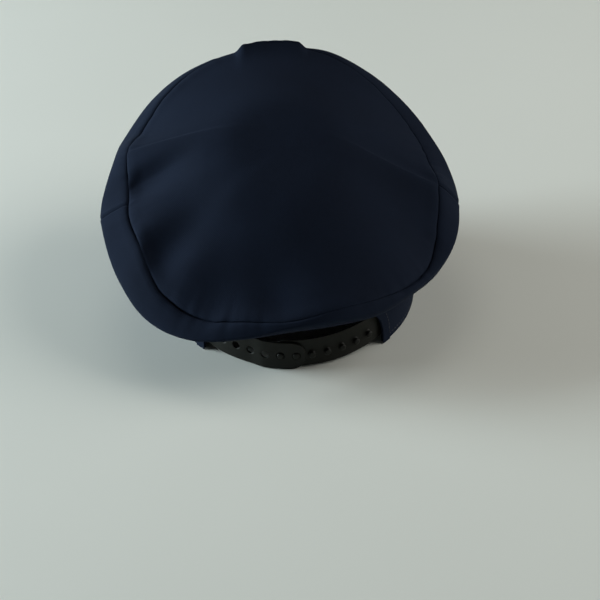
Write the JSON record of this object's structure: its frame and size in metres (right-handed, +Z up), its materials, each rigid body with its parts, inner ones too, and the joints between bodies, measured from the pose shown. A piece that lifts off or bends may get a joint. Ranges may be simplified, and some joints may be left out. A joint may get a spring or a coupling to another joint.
{
  "type": "peaked cap",
  "caption": "Soft peaked cloth cap with a round slumped top panel, a flared side ring, a headband arched open at the back, a short peak and a fastened snap strap.",
  "frame": {"origin": "middle of the cap's whole outline, on the surface it lies on", "axes": "+Z up through the crown, -Y forward along the peak, +Y to the strap at the back, +X to the wearer's left"},
  "size_m": [0.2434, 0.2674, 0.1326],
  "materials": {
    "navy_cloth": "fine matt twill",
    "black_plastic": "satin moulded"
  },
  "bodies": {
    "root": {"crown_top": "navy_cloth", "crown_side_front": "navy_cloth", "crown_side_back": "navy_cloth", "headband": "navy_cloth", "peak": "navy_cloth", "strap_holes": "black_plastic", "strap_posts": "black_plastic"}
  },
  "joints": []
}
